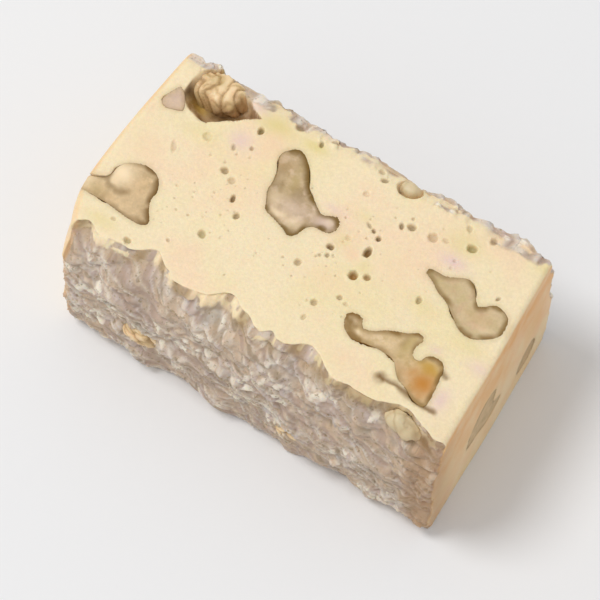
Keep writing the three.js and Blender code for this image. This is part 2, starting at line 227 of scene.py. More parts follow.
def flank_inset(x, z, layer):
    """How far a flank lies inside the full width."""
    front = layer == FRONT
    up = np.maximum(0, z - FULL_HEIGHT) / (HEIGHT - FULL_HEIGHT)
    down = np.maximum(0, FULL_HEIGHT - z) / FULL_HEIGHT
    crag = CRAG * lumps(x / 3.4, z / 2.6, layer)
    flake = FLAKE * (1 - creases(x / 2.1, z / 1.2, layer + 1))
    near_top = np.clip(1 + (z - HEIGHT) / BITE_HEIGHT, 0, 1) ** 2
    crag *= 1 + (EDGE_CRAG - 1) * near_top
    bite = front_bite(x) if front else BACK_BITE * lumps(x / 2.3, 0.5 + 0 * x, layer + 2) ** 2
    lean = FRONT_LEAN if front else BACK_LEAN
    return lean * up**2 + FOOT_LEAN * down**3 + crag + flake + bite * near_top


def end_inset(x, y, z):
    """How far an end lies inside the full length. The left one is bowed, the right one askew."""
    corner = np.clip((CORNER_START - y) / (WIDTH / 2 + CORNER_START), 0, 1)
    bow = LEFT_BOW * ((y - LEFT_FULLEST) / (WIDTH / 2 - LEFT_FULLEST)) ** 2
    left = END_SWELL * lumps(y / 9, z / 8, 11) + bow + LEFT_CORNER * corner**2
    right = END_SWELL * lumps(y / 9, z / 8, 12) + RIGHT_SKEW * (y / WIDTH + 0.5)
    return np.where(x < 0, left, right)


def shoulder(x, y):
    """0 on the cut top, rising to 1 over the crumbly shoulder along its back edge."""
    return np.clip((y - SHOULDER_START + lumps(x / 2.4, 0.5 + 0 * x, 23)) / SHOULDER_WIDTH, 0, 1)


def top_inset(x, y):
    """How far the top lies under the full height."""
    swell = 0.7 * lumps(x / 8, y / 6, 21) + 0.3 * lumps(x / 3, y / 3, 22)
    return SHOULDER * shoulder(x, y) ** 2 + TOP_SWELL * swell


# ---- Finer relief ----


def grains(a, b, layer):
    """Rounded crumbs, about one to each unit: their height from 0 to 1, and their shades."""
    i, j = np.floor(a), np.floor(b)
    height, shade = np.zeros_like(a), np.zeros_like(a)
    for di in (-1, 0, 1):
        for dj in (-1, 0, 1):
            ci, cj = i + di, j + dj
            px = ci + 0.15 + 0.7 * scatter(ci, cj, layer)
            py = cj + 0.15 + 0.7 * scatter(ci, cj, layer + 0.5)
            size = 0.35 + 0.45 * scatter(ci, cj, layer + 0.25)
            reach = ((a - px) ** 2 + (b - py) ** 2) / size**2
            dome = np.sqrt(np.clip(1 - reach, 0, 1)) * size
            taller = dome > height
            height = np.where(taller, dome, height)
            shade = np.where(taller, scatter(ci, cj, layer + 0.75), shade)
    return height, shade


def crumb_relief(x, z, layer):
    """On a flank: height of the slanting ledges and the crumbs, the crumbs' shade, and streaks."""
    along, across = x - SLANT * z, z + SLANT * x
    warped = across / 0.75 + 1.2 * lumps(along / 3.4, across / 2.2, layer + 42)
    warped += 0.5 * lumps(x / 0.9, z / 0.9, layer + 43)
    sheet = np.floor(warped)
    depth = lumps(along / 1.9 + 5 * sheet, sheet, layer + 44)
    ledge = (warped - sheet) ** 1.6 * depth
    coarse, shade = grains(x / 0.85 + 0.4 * lumps(z, x, layer), z / 0.65, layer + 40)
    fine, _ = grains(x / 0.42, z / 0.36, layer + 41)
    present = step(0.35, 0.6, lumps(x / 2.6, z / 2.2, layer + 45))
    streak = lumps(along / 2.8 + 3 * lumps(across, along, layer), across / 0.55, layer + 46)
    return LEDGE * ledge + GRAIN * (coarse * present + 0.5 * fine), shade * present, streak


def bubble_list():
    """Every bubble: those in BUBBLES, and the small ones in clusters between them."""

    def row(x, y, a, b, dark, turn=0, warm=0.0):
        return x, y, a, b, dark, math.radians(turn), warm

    rng = np.random.default_rng(SEED)
    rows = [row(*values) for values in BUBBLES]
    while len(rows) < len(BUBBLES) + TINY_BUBBLES:
        x, y, reach_x, reach_y = TINY_CLUSTERS[rng.integers(len(TINY_CLUSTERS))]
        x, y = rng.normal((x, y), (reach_x, reach_y))
        size = rng.uniform(*TINY_SIZE)
        if abs(x) < TINY_ENDS and TINY_FRONT < y < TINY_BACK:
            turn, dark = rng.uniform(0, math.pi), rng.uniform(*TINY_DARK)
            rows.append((x, y, size, size * rng.uniform(0.7, 1), dark, turn, rng.uniform(-0.2, 0.2)))
    return rows


def turned(x, y, turn):
    """Offsets along and across a shape that is turned."""
    return x * math.cos(turn) + y * math.sin(turn), y * math.cos(turn) - x * math.sin(turn)


def line_distance(x, y, corners):
    """Distance to a line through the corners."""
    nearest = np.full(len(x), FAR)
    for (ax, ay), (bx, by) in zip(corners, corners[1:]):
        along = ((x - ax) * (bx - ax) + (y - ay) * (by - ay)) / ((bx - ax) ** 2 + (by - ay) ** 2)
        along = np.clip(along, 0, 1)
        nearest = np.minimum(nearest, np.hypot(x - ax - along * (bx - ax), y - ay - along * (by - ay)))
    return nearest


def lines_mask(x, y, lines):
    """1 on wandering lines, fading to 0 at their uneven widths."""
    wander_x = 0.3 * lumps(x / 1.1, y / 1.1, 92) - 0.15
    wander_y = 0.3 * lumps(y / 1.1, x / 1.1, 93) - 0.15
    uneven = 0.55 + 0.9 * lumps(x / 0.8, y / 0.8, 91)
    mask = np.zeros(len(x))
    for corners, width, strength in lines:
        away = line_distance(x + wander_x, y + wander_y, corners) / (width * uneven)
        mask = np.maximum(mask, strength * step(1.2, 0.0, away))
    return mask


def stain_mask(x, y, stains):
    """The strongest of several soft stains."""
    mask = np.zeros(len(x))
    for at_x, at_y, reach_x, reach_y, strength in stains:
        r = ((x - at_x) / reach_x) ** 2 + ((y - at_y) / reach_y) ** 2
        mask = np.maximum(mask, strength * np.exp(-r))
    return mask


# ---- The block ----


def grid_lines(half, rounding, steps, rows):
    """Places of a grid's lines along one axis, with narrow rows in the rounded edges."""
    inner = half - rounding
    middle = np.linspace(-inner, inner, steps + 1)
    edge = inner + rounding * np.arange(1, rows + 1) / rows
    return np.concatenate([-edge[::-1], middle, edge])


def block_lines(steps, rows):
    """The grid's lines along each axis."""
    return [grid_lines(h, r, n, rows) for h, r, n in zip(HALF, (END_ROUND, FLANK_ROUND, TOP_ROUND), steps)]


def box_grid(xs, ys, zs):
    """Corners and outward quads of a box that these lines divide."""
    shape = (len(xs), len(ys), len(zs))
    inside = np.zeros(shape, bool)
    inside[1:-1, 1:-1, 1:-1] = True
    ids = np.full(shape, -1)
    ids[~inside] = np.arange((~inside).sum())
    i, j, k = np.nonzero(~inside)
    corners = np.stack([xs[i], ys[j], zs[k]], 1)

    def quads(sheet, flip):
        a, b, c, d = sheet[:-1, :-1], sheet[1:, :-1], sheet[1:, 1:], sheet[:-1, 1:]
        order = (d, c, b, a) if flip else (a, b, c, d)
        return np.stack([part.ravel() for part in order], 1)

    sheets = [(ids[:, :, -1], False), (ids[:, 0, :], False), (ids[:, -1, :], True)]
    sheets += [(ids[0, :, :], True), (ids[-1, :, :], False), (ids[:, :, 0], True)]
    return corners, np.concatenate([quads(sheet, flip) for sheet, flip in sheets])


def block_surface(flat):
    """The solid's surface for points of a box: the places, and the outward directions."""
    low, high = (END_ROUND, FLANK_ROUND, BOTTOM_ROUND), (END_ROUND, FLANK_ROUND, TOP_ROUND)
    radius = np.where(flat[:, 2:] < 0, [low], [high])
    inner = HALF - radius
    core = np.clip(flat, -inner, inner)
    out = (flat - core) / radius
    out /= np.linalg.norm(out, axis=1, keepdims=True)
    p = core + out * radius
    p[:, 2] += HALF[2]
    x, y, z = p.T.copy()
    flank = np.where(y < 0, flank_inset(x, z, FRONT), flank_inset(x, z, BACK))
    p[:, 0] *= 1 - end_inset(x, y, z) / HALF[0]
    p[:, 1] *= 1 - flank / HALF[1]
    p[:, 2] -= np.where(flat[:, 2] > 0, top_inset(p[:, 0], p[:, 1]) * out[:, 2] ** 2, 0)
    return p, out


def nut_distance(points, nuts, reach):
    """Distance to the nearest walnut solid, up to reach, and negative inside it."""
    nearest = np.full(len(points), float(reach))
    for nut in nuts:
        low, high = nut["low"] - reach, nut["high"] + reach
        for i in np.nonzero(((points > low) & (points < high)).all(1))[0]:
            where, normal, _, distance = nut["tree"].find_nearest(Vector(points[i]))
            inside = (Vector(points[i]) - where).dot(normal) < 0
            nearest[i] = min(nearest[i], -distance if inside else distance)
    return nearest


def pocket_distance(p, out, nuts):
    """Distance to the walnut pieces along the surface, with sliced ones measured at their walls."""
    sliced = [n for n in nuts if n["sliced"]]
    walls = nut_distance(p - out * WALL_DEPTH, sliced, NUT_REACH)
    walls = np.maximum(walls, nut_distance(p, sliced, NUT_REACH) - CUT_REACH)
    return np.minimum(walls, nut_distance(p, [n for n in nuts if not n["sliced"]], NUT_REACH))


def bubble_fields(p, out, bubbles):
    """At each point: depth of the top's bubbles, their painted shade and its warmth, and distance to a rim.
    """
    depth, dark, warm = np.zeros((3, len(p)))
    rim = np.full(len(p), FAR)
    top = out[:, 2] > 0.6
    for x, y, a, b, shade, turn, warmth in bubbles:
        reach = 1.6 * max(a, b) + 0.3
        near = np.nonzero(top & (np.abs(p[:, 0] - x) < reach) & (np.abs(p[:, 1] - y) < reach))[0]
        dx, dy = p[near, 0] - x, p[near, 1] - y
        u, v = turned(dx, dy, turn)
        r = np.hypot(u / a, v / b) * (1 + 0.3 * (lumps(dx * 3 + 50 * x, dy * 3, 60) - 0.5))
        bowl = np.sqrt(np.clip(1 - r * r, 0, 1))
        size = min(a, b)
        depth[near] = np.maximum(depth[near], (0.4 + 1.1 * shade) * size * bowl)
        depth[near] -= 0.1 * size * np.exp(-(((r - 1.3) / 0.2) ** 2))  # a low raised rim
        inside = step(1.05, 0.5, r)
        dark[near] = np.maximum(dark[near], shade * inside)
        warm[near] += warmth * inside
        rim[near] = np.minimum(rim[near], np.abs(r - 1) * size)
    return depth, dark, warm, rim


def hollow_fields(p):
    """Depth of the hollows over whole pieces, how far inside one a point is, and distance to a rim."""
    depth, inside = np.zeros((2, len(p)))
    rim = np.full(len(p), FAR)
    for x, y, a, b, turn, deep, sides in HOLLOWS:
        dx, dy = p[:, 0] - x, p[:, 1] - y
        u, v = turned(dx, dy, turn)
        u, v = u / a, v / b
        r = np.hypot(u, v)
        for facing, reach in sides:
            r = np.maximum(r, turned(dx, dy, math.radians(facing))[0] / reach)
        r *= 1 + 0.16 * (lumps(p[:, 0] / 1.3, p[:, 1] / 1.3, 62) - 0.5)
        bowl = np.sqrt(np.clip(1 - r * r, 0, 1))
        gentle = 0.15 + 0.45 * step(-0.1, -0.8, u - 0.3 * v)  # its wall slopes most at the left
        depth = np.maximum(depth, deep * step(1.0, 1.0 - gentle, r) * (0.85 + 0.4 * bowl))
        inside = np.maximum(inside, step(1.06, 0.92, r))
        rim = np.minimum(rim, np.abs(r - 0.94) * b)
    near = p[:, 2] > HEIGHT - HOLLOW_REACH
    return depth * near, inside * near, np.where(near, rim, FAR)


def body_fields(flat, nuts, bubbles):
    """Everything that shapes and colours the block at points of its box."""
    p, out = block_surface(flat)
    fields = dict(zip(("bubble_depth", "dark", "warm", "rim"), bubble_fields(p, out, bubbles)))
    hollow_depth, hollow, hollow_rim = hollow_fields(p)
    distance = pocket_distance(p, out, nuts)
    fields |= {"hollow_depth": hollow_depth, "hollow": hollow, "distance": distance}
    rim = np.minimum(np.minimum(fields["rim"], hollow_rim), np.abs(distance - sum(POCKET_GAP) / 2))
    for corners, width, _ in SKIN_LINES:
        rim = np.minimum(rim, np.abs(line_distance(p[:, 0], p[:, 1], corners) - 0.5 * width))
    fields["rim"] = rim
    return p, out, fields


def halve(bm, faces):
    """Divides each of these faces in four."""
    edges = {e for f in faces for e in f.edges}
    bmesh.ops.subdivide_edges(bm, edges=list(edges), cuts=1, use_grid_fill=True)


def refine(bm, nuts, bubbles):
    """Halves the grid on the front flank, and elsewhere once or twice near pockets, pits and lines."""
    front = HALF[1] - FLANK_ROUND
    halve(bm, [f for f in bm.faces if f.calc_center_median().y < -front])
    for reach in FINE_REACH:
        faces = list(bm.faces)
        middles = np.array([f.calc_center_median() for f in faces])
        _, _, fields = body_fields(middles, nuts, bubbles)
        edge = np.where((middles[:, 2] > -HALF[2]) & (middles[:, 1] > -front), fields["rim"], FAR)
        halve(bm, [faces[i] for i in np.nonzero(edge < reach)[0]])


def put_masks(mesh, masks):
    """Stores values for each vertex, by name, which the materials read."""
    for name, values in masks.items():
        made = mesh.attributes.new(name, "FLOAT", "POINT")
        made.data.foreach_set("value", np.asarray(values, np.float32))


def place_object(name, data):
    """A new object in the scene."""
    made = bpy.data.objects.new(name, data)
    bpy.context.scene.collection.objects.link(made)
    return made


def new_piece(name, mesh, node_names, material):
    """A shown piece: it rides on the body, stands for CAD nodes and has one material."""
    piece = place_object(name, mesh)
    mesh.materials.append(material)
    mesh.polygons.foreach_set("use_smooth", [True] * len(mesh.polygons))
    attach(piece, "root")
    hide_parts(*node_names)


def block_offset():
    """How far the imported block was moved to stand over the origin."""
    p, _ = block_surface(box_grid(*block_lines(SOLID_STEPS, SOLID_ROWS))[0])
    low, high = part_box("nougat")
    packed = (np.array(low) + np.array(high)) / 2 / MM
    offset = packed - (p.min(0) + p.max(0)) / 2
    return np.array([offset[0], offset[1], 0])


def block_grid():
    """The block's box as a fine mesh."""
    steps = [round(2 * (h - r) / d) for h, r, d in zip(HALF, (END_ROUND, FLANK_ROUND, TOP_ROUND), SPACING)]
    corners, quads = box_grid(*block_lines(steps, ROUND_ROWS))
    mesh = bpy.data.meshes.new("nougat_block")
    mesh.from_pydata(corners.tolist(), [], quads.tolist())
    bm = bmesh.new()
    bm.from_mesh(mesh)
    return mesh, bm


def crumbs(p, flankness):
    """Relief of both flanks, with its shade and streaks."""
    found = np.zeros((3, len(p)))
    for side, layer in ((-1, FRONT), (1, BACK)):
        on = (p[:, 1] * side > 0) & (flankness > 0)
        found[:, on] = crumb_relief(p[on, 0], p[on, 2] + p[on, 1] * side * WRAP, layer)
    return found * flankness


def amber_mask(y, z, out):
    """How amber the ends are: strong high up on the right one, weak on the left one."""
    right = step(0.68, 1.0, out[:, 0]) * (0.5 + 0.5 * step(*AMBER_RISE, z))
    right *= 0.7 + 0.3 * lumps(y / 2.7, z / 3.5, 55)
    left = 0.5 * step(0.0, 0.7, -out[:, 0]) * (0.4 + 0.6 * lumps(y / 3.5, z / 4, 56))
    return np.maximum(right, left)


def brown_corner_and_shade_mask(x, y, z):
    """Brown colour and painted shade at the front corner of the right end, strongest under the top edge."""
    along = step(*BROWN_CORNER_ALONG, x + 0.8 * lumps(y / 1.5, z / 1.5, 57))
    across = np.exp(-(((y - BROWN_CORNER_Y) / BROWN_CORNER_WIDTH) ** 2))
    return across * along * (0.15 + 0.45 * step(*BROWN_CORNER_FALL, z))


def front_edge(x, z, out):
    """The front top edge, the cream tongues over it, and darker brown patches under it, partly painted
    shade.
    """
    edge = step(-0.1, -0.7, out[:, 1]) * step(*EDGE_RISE, z)
    ragged = 0.6 * lumps(x / 0.9, z / 0.7, 95) + 0.4 * lumps(x / 0.4, z / 0.4, 96)
    tongues = edge * step(*TONGUE_RISE, z) * step(0.4, 0.6, ragged)
    # Brown patches under the edge, partly painted shade.
    edge_brown_and_shade = step(-0.3, -0.7, out[:, 1]) * step(*EDGE_BROWN_RISE, z)
    return edge, tongues, edge_brown_and_shade * step(0.3, 0.75, lumps(x / 1.3, z / 1.5, 53))


def press_pockets(depth, distance, x, y, z):
    """Adds the walnut pieces' pockets to the depth that the surface is pressed in."""
    uneven = lumps(x / 1.4 + 9, y / 1.4 + z, 61)
    gap = POCKET_GAP[0] + (POCKET_GAP[1] - POCKET_GAP[0]) * step(0.5, 0.95, uneven)
    sunk = step(-POCKET_WALL / 2, POCKET_WALL / 2, gap - distance)
    return depth * (1 - sunk) + POCKET_DEPTH * sunk


def press_hollows(p, z, hollow_depth):
    """Presses down all that is over the hollows' floors. It gives 1 there and 0 under them."""
    floor = HEIGHT - hollow_depth
    above = (hollow_depth > 0) & (p[:, 2] > floor)
    p[:, 2] = np.where(above, floor + FLOOR_RELIEF * (p[:, 2] - floor), p[:, 2])
    return step(-0.1, 0.1, z - floor)


def make_block(nuts, offset, material):
    """The nougat in one mesh: its cut faces, torn flanks, pockets, bubbles and hollows."""
    mesh, bm = block_grid()
    bubbles = bubble_list()
    refine(bm, nuts, bubbles)
    bm.verts.ensure_lookup_table()
    flat = np.array([v.co for v in bm.verts])
    p, out, f = body_fields(flat, nuts, bubbles)
    top, side = step(0.5, 0.9, out[:, 2]), step(0.2, 0.7, np.abs(out[:, 1]))
    x, y, z = p.T.copy()
    torn = step(0.02, 0.3, shoulder(x, y)) * top
    broken = np.maximum(side, torn)
    edge, tongues, edge_brown_and_shade = front_edge(x, z, out)
    p[:, 1] += NIBBLE * edge * (0.7 * lumps(x / 0.8, 0 * x, 97) + 0.3 * lumps(x / 0.35, 0 * x, 98))

    # Crumbs grow from nothing at the cut faces to full height on the flanks.
    crumb, shade, streak = crumbs(p, broken)
    p += out * ((crumb - 0.55 * LEDGE * broken) * step(*FOOT_RISE, z))[:, None]

    fine = 0.03 * (lumps(x / 0.9, y / 0.9, 51) + lumps(x / 0.35, y / 0.35, 52))
    skin_line = lines_mask(x, y, SKIN_LINES) * step(*SKIN_RISE, z)
    depth = f["bubble_depth"] + (fine + 0.1 * skin_line) * top
    p -= out * press_pockets(depth, f["distance"], x, y, z)[:, None]
    hollow = f["hollow"] * press_hollows(p, z, f["hollow_depth"])
    p[flat[:, 2] < TINY - HALF[2], 2] = 0

    for vertex, place in zip(bm.verts, (p + offset) * MM):
        vertex.co = place
    bm.to_mesh(mesh)
    bm.free()

    scallops = 0.15 + 0.6 * step(0.35, 0.65, lumps(x / 1.5, y / 0.9 - 0.5, 54))
    put_masks(mesh, {
        "flank": np.maximum(side * (1 - 0.85 * tongues), torn * scallops) * (1 - hollow),
        "edge": edge_brown_and_shade,
        "crumb": crumb / (LEDGE + GRAIN),
        "shade": shade,
        "streak": streak,
        # painted shade inside the bubbles, and how warm it is
        "dark": f["dark"] * top,
        "warm": f["warm"] * top,
        "hollow": hollow,
        "pocket": step(0.5, 0.05, np.clip(f["distance"], 0, 1)),
        "skin_line": skin_line,
        "amber": amber_mask(y, p[:, 2], out),
        "corner_brown_and_shade": brown_corner_and_shade_mask(x, y, p[:, 2]),
    })
    put_masks(mesh, {name: stain_mask(x, y, stains) * top for name, stains in STAINS.items()})
    put_masks(mesh, {name: stain_mask(x, y, stains) * hollow for name, stains in HOLLOW_STAINS.items()})
    new_piece("nougat_block", mesh, ["nougat"], material)


# ---- Walnut pieces ----

VOXEL = 0.14  # of the even mesh that each solid is turned into
SLICE_SMOOTHING, KERNEL_SMOOTHING = 3, 14

# Cut flesh of each sliced piece: its main tone, a cooler and a warmer one, and its skin's at the rim.
FLESH = {
    "walnut_back_left_chip": ((216, 188, 156), (206, 178, 152), (224, 198, 160), (164, 132, 96)),
    "walnut_front_left": ((212, 184, 142), (194, 168, 126), (226, 196, 152), (122, 90, 38)),
    "walnut_centre": ((196, 170, 132), (178, 152, 112), (216, 190, 158), (118, 88, 22)),
    "walnut_right": ((213, 190, 150), (204, 184, 138), (210, 180, 144), (138, 108, 56)),
    "walnut_hook": ((215, 187, 142), (200, 172, 122), (224, 196, 154), (134, 100, 44)),
    "walnut_end_right": ((206, 176, 132), (190, 162, 118), (218, 186, 142), (140, 104, 62)),
    "walnut_end_right_low": ((198, 166, 120), (184, 154, 108), (210, 176, 130), (132, 96, 56)),
    "walnut_end_left": ((204, 180, 142), (190, 166, 128), (216, 190, 152), (138, 108, 70)),
    "walnut_end_left_low": ((210, 184, 144), (196, 172, 130), (220, 192, 152), (140, 110, 70)),
}

# Dark skin lines on the sliced pieces in the top, each with its half-width and strength.
NUT_LINES = {
    "walnut_front_left": [([(-22, -3.8), (-21.6, -4.4), (-20.4, -4.7), (-19.4, -4.2)], 0.5, 0.55)],
    "walnut_centre": [
        ([(0.2, 5), (0.9, 4.9), (1.3, 4.2)], 0.4, 0.5),
        ([(-6.2, 5.4), (-5.9, 4.6)], 0.4, 0.3),
    ],
    "walnut_hook": [
        ([(9.2, -4.3), (8.5, -4.1), (8.6, -4.9), (9.6, -5.3)], 0.55, 0.6),
        ([(14.2, -3.6), (14.3, -2.9), (14.4, -2.2)], 0.45, 0.3),
        ([(17, -8), (18.6, -8.2), (20.1, -8.3)], 0.4, 0.6),
    ],
}

# Paler, darker and coloured patches on the pieces: place, half-length, half-width and strength.
NUT_STAINS = {
    "walnut_front_left": {
        "pale": [(-21, -2.4, 1.5, 1.5, 1), (-22.6, -2, 0.8, 1.4, 0.8), (-23.8, -5, 1, 0.8, 0.6)],
        "olive": [(-22.2, -5.4, 1.2, 0.8, 0.3)],
        "tan": [(-20.6, -5.4, 1, 0.6, 0.4), (-18.2, -2.4, 1, 1.6, 0.3)],
    },
    "walnut_centre": {
        "pale": [
            (-4.6, 2.4, 1.3, 0.6, 0.8), (-2.6, 2.4, 0.9, 0.8, 0.6), (0.6, 4.3, 0.5, 0.5, 0.8),
            (-5.6, 3.9, 1.2, 1, 0.4), (-3.6, 3.2, 1.6, 1.2, 0.3),
        ],
        "pink": [(-3.2, 3.8, 2, 1.2, 0.4), (0.2, 4, 1.4, 1.1, 0.7)],
        "dark": [
            (0.3, 3.2, 0.4, 0.35, 0.95), (-3.8, 5.3, 1.3, 0.8, 0.35), (-6.3, 5.2, 0.7, 0.6, 0.35),
            (-6.6, 6.9, 0.5, 0.5, 0.3),
        ],
        "olive": [(-4.9, 6.6, 0.9, 1.8, 0.5)],
        "tan": [(-7.2, 7.8, 1.4, 1.2, 0.35)],
    },
    "walnut_right": {
        "pale": [(18.6, 4.9, 0.5, 0.4, 0.3), (20.6, 2.6, 1.4, 0.5, 0.3)],
        "olive": [(14.6, 4.7, 2.6, 1.2, 0.35)],
        "tan": [(19.6, 3.6, 1.8, 1.2, 0.5)],
    },
    "walnut_hook": {
        "dark": [(8.4, -4.1, 0.9, 0.9, 0.4)],
        "pale": [
            (9.9, -4.7, 0.4, 0.3, 0.8), (8.2, -3.7, 0.25, 0.25, 0.5), (13, -3.8, 1.2, 0.6, 0.15),
            (19.2, -8.9, 1.6, 0.4, 0.9),
        ],
        "olive": [(15.2, -2.8, 0.9, 1.3, 0.8), (13.2, -2.7, 1, 0.4, 0.5), (18.6, -8, 1, 0.3, 0.6)],
        "mustard": [(18.6, -4.2, 1.7, 0.9, 1)],
        "tan": [(15.6, -6, 1.5, 0.9, 0.7), (17.2, -7.4, 1.2, 0.5, 0.5)],
        "orange": [(18.7, -6, 1.5, 1.5, 1), (17.4, -5.5, 1, 0.8, 0.6), (19, -7.1, 0.8, 0.8, 0.6)],
    },
    "walnut_back_left_chip": {"pink": [(-20.8, 7.9, 0.8, 1, 0.4)]},
    "walnut_back_left": {
        "olive": [(-18.9, 9.1, 0.9, 0.6, 1), (-18.6, 12.3, 1.4, 0.6, 0.45)],
        # Its dark patches are painted shade on the piece's front side, down in its hollow.
        "dark": [(-20.8, 10, 0.7, 0.8, 0.9), (-16.1, 9.3, 1.2, 0.6, 1), (-17.6, 9.1, 0.7, 0.4, 0.7)],
    },
    "walnut_back_edge": {"grey": [(5.5, 12.3, 2.5, 2, 0.9)]},
    "walnut_front_rim": {"grey": [(18.8, -10.6, 3.5, 2.5, 1)]},
}
NUT_PATCHES = {
    "pale": (253, 228, 188), "pink": (218, 192, 178), "dark": (124, 96, 52), "olive": (188, 164, 104),
    "orange": (198, 134, 54), "tan": (200, 164, 116), "grey": (214, 196, 157), "mustard": (200, 162, 76),
}
WHOLE_PATCHES = ("olive", "dark", "grey")


def nut_solids():
    """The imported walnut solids, in millimetres."""
    nuts = []
    for name, node in sorted(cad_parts.items()):
        if name == "nougat":
            continue
        corners = np.array([v.co for v in node.data.vertices]) / MM
        polygons = [list(p.vertices) for p in node.data.polygons]
        nuts.append({"name": name, "corners": corners, "polygons": polygons, "sliced": name in FLESH})
    return nuts


def plant(nuts, offset):
    """Adds to each nut its tree and box in the block's own millimetres."""
    for nut in nuts:
        local = nut["corners"] - offset
        nut["tree"] = BVHTree.FromPolygons([tuple(c) for c in local], nut["polygons"])
        nut["low"], nut["high"] = local.min(0), local.max(0)


def remeshed(nut):
    """An even fine mesh of a walnut solid, with its facets smoothed away."""
    mesh = bpy.data.meshes.new(nut["name"])
    mesh.from_pydata(nut["corners"].tolist(), [], nut["polygons"])
    worker = place_object("worker", mesh)
    remesh = worker.modifiers.new("even", "REMESH")
    remesh.mode, remesh.voxel_size = "VOXEL", VOXEL
    smooth = worker.modifiers.new("smooth", "SMOOTH")
    smooth.factor, smooth.iterations = 0.5, SLICE_SMOOTHING if nut["sliced"] else KERNEL_SMOOTHING
    graph = bpy.context.evaluated_depsgraph_get()
    made = bpy.data.meshes.new_from_object(worker.evaluated_get(graph))
    bpy.data.objects.remove(worker)
    bpy.data.meshes.remove(mesh)
    return made


def mesh_arrays(mesh):
    """Places and normals of a mesh's vertices."""
    places, normals = np.empty(len(mesh.vertices) * 3), np.empty(len(mesh.vertices) * 3)
    mesh.vertices.foreach_get("co", places)
    mesh.vertex_normals.foreach_get("vector", normals)
    return places.reshape(-1, 3), normals.reshape(-1, 3)


# One piece is cut by the top and by the left end, where it narrows downwards to a rounded tongue.
TONGUE_PIECE = "walnut_front_left"
TONGUE_START, TONGUE_FULL = -21.5, -22.9
TONGUE_MIDDLE, TONGUE_DEPTH = -5.8, 3.5
TONGUE_SWELL, TONGUE_BEND, TONGUE_CLOSING = 0.55, 1.3, 0.98


def shape_tongue(nut):
    """Turns a piece's straight-sided end into a tongue that swells, bends and closes with depth."""
    mesh = remeshed(nut)
    p, _ = mesh_arrays(mesh)
    share = step(TONGUE_START, TONGUE_FULL, p[:, 0])
    t = np.clip((HEIGHT - p[:, 2]) / TONGUE_DEPTH, 0, 1)
    width = (1 + TONGUE_SWELL * step(0.15, 0.65, t)) * np.sqrt(1 - TONGUE_CLOSING * t ** 3)
    p[:, 1] += share * ((p[:, 1] - TONGUE_MIDDLE) * (width - 1) + TONGUE_BEND * t ** 2)
    nut["corners"], nut["polygons"] = p, [list(f.vertices) for f in mesh.polygons]


FACE_AXIS = {"right": (1, 0, 0), "left": (-1, 0, 0)}


def face_of(name):
    """Outward direction of the cut face that a sliced piece lies in."""
    found = [axis for word, axis in FACE_AXIS.items() if name.startswith(f"walnut_end_{word}")]
    return np.array(found[0] if found else (0, 0, 1), float)


# Where the brown rim of a sliced piece is broad and dark, and where it fades out.
RIM_DARK = {
    "walnut_front_left": [
        (-18.6, -0.6, 1.1, 0.6, 0.6), (-17, -2.4, 0.7, 1.9, 0.8), (-16.2, -5.6, 0.9, 1, 0.9),
    ],
    "walnut_centre": [
        (-6.9, 9.4, 1.1, 0.6, 0.9), (-5.4, 8.9, 0.9, 0.8, 0.9), (-4.5, 7.8, 0.9, 1, 0.8),
        (-3.5, 6.5, 0.8, 0.9, 0.8), (-2.4, 5.6, 0.7, 0.5, 0.6), (-3.2, 0.9, 1.1, 0.5, 0.7),
        (-2.1, 0.8, 0.8, 0.8, 0.8), (-1.5, 1.9, 0.6, 0.8, 0.5), (-6.2, 2, 0.9, 0.6, 0.5),
        (1.2, 5, 0.7, 0.9, 0.6), (0.2, 3.3, 0.5, 0.4, 0.6),
    ],
    "walnut_right": [
        (12.2, 5.2, 0.8, 0.7, 0.5), (15.4, 3.2, 1.6, 0.6, 0.45), (17.2, 6.3, 1.2, 0.7, 0.5),
        (18.9, 4.4, 0.9, 0.7, 0.7), (20.4, 5.4, 1, 0.6, 0.6), (22.4, 3.8, 0.7, 1.6, 0.6),
        (21.2, 1.9, 1.2, 0.8, 0.5), (19, 1.1, 1, 0.6, 0.7),
    ],
    "walnut_hook": [
        (8.1, -3.4, 1.1, 0.9, 0.8), (9.6, -5.6, 1, 0.7, 0.7), (12.8, -2.7, 1.2, 0.6, 0.5),
        (15, -1.6, 1, 0.6, 0.5), (18.2, -3, 1.2, 0.6, 0.8), (19.5, -4.6, 0.5, 1.4, 0.5),
        (19.8, -7, 0.5, 1.3, 0.4), (12.3, -5.3, 1.6, 0.3, 0.2),
    ],
}
RIM_FADES = {
    "walnut_back_left_chip": [(-21.8, 7.6, 2.5, 2.5, 0.6)],
    "walnut_front_left": [(-22.4, -1.5, 1.6, 1.8, 1), (-23.8, -5, 1.2, 1.5, 0.9)],
    "walnut_centre": [(-8.4, 6.8, 1, 2.2, 0.7), (-6.9, 3.4, 0.9, 1, 0.4)],
    "walnut_hook": [
        (16.2, -4.3, 0.8, 0.7, 0.9), (14.9, -6.1, 1.3, 1, 0.9), (17.2, -7.4, 1.2, 0.7, 0.8),
        (18.8, -8.8, 1.8, 0.7, 1),
    ],
}


def patch_masks(name, a, b, shown):
    """A piece's patches, with uneven outlines."""
    a, b = a + 0.5 * lumps(a, b, 78), b + 0.5 * lumps(b, a, 79)
    return {patch: stain_mask(a, b, stains) * shown for patch, stains in NUT_STAINS.get(name, {}).items()}


END_BAND = 1.6  # a piece in the top that comes this near the left end is cut by it too


